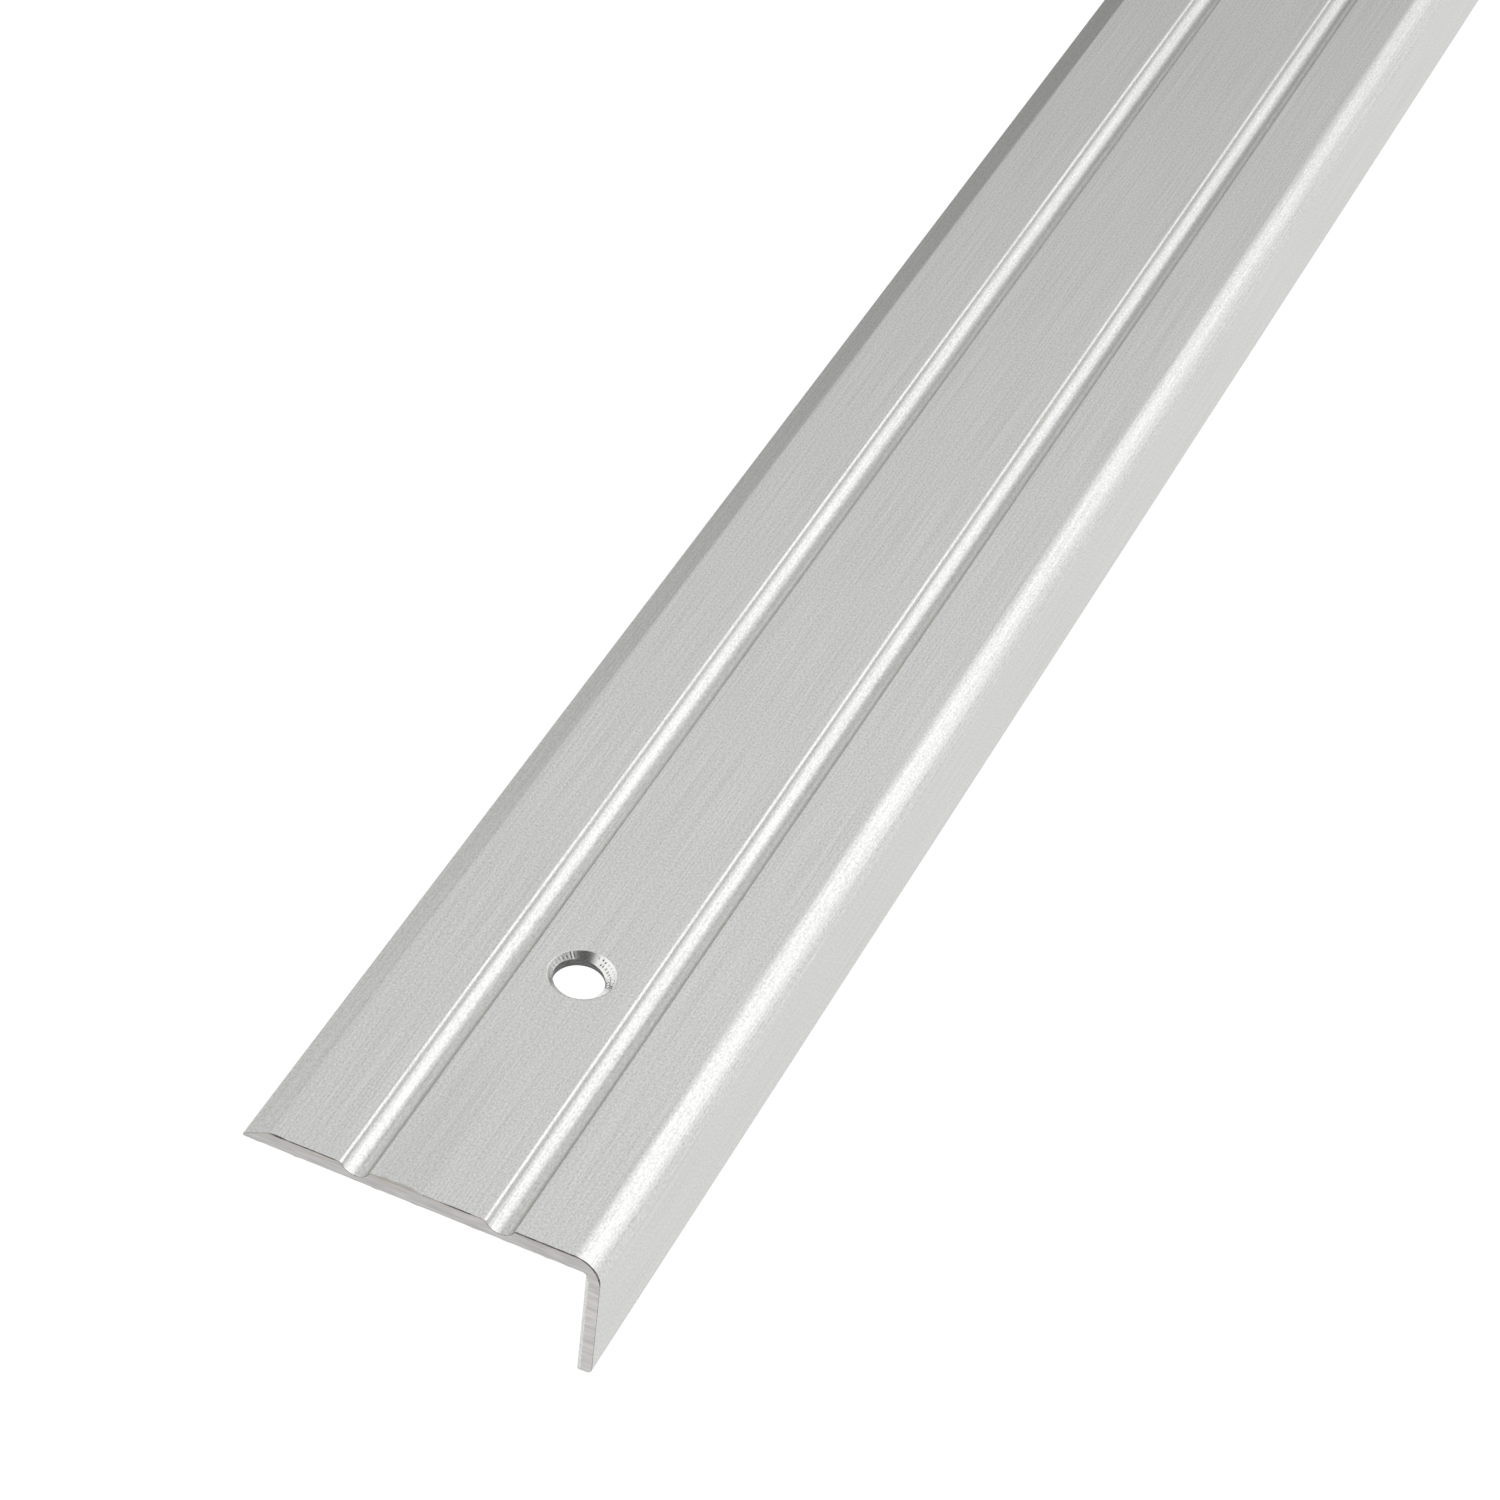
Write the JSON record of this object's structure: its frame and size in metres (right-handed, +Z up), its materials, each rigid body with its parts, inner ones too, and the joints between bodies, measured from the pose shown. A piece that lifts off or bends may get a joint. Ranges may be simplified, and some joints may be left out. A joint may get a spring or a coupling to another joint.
{
  "type": "edge strip",
  "caption": "Grooved aluminium angle strip with countersunk screw holes: covers the edge of a step, threshold or raised floor covering.",
  "frame": {"origin": "under the middle of the strip, in the plane of the front leg's lower edge", "axes": "+X along the strip, -Y out of the front leg's face, +Y towards the thin back edge, +Z up out of the top plate"},
  "size_m": [0.9, 0.025, 0.01],
  "materials": {
    "anodised_aluminium": "silver anodised, finely brushed along the strip, satin; bare metal at the sawn ends and in the holes"
  },
  "bodies": {
    "root": {"edge_profile": "anodised_aluminium"}
  },
  "joints": []
}
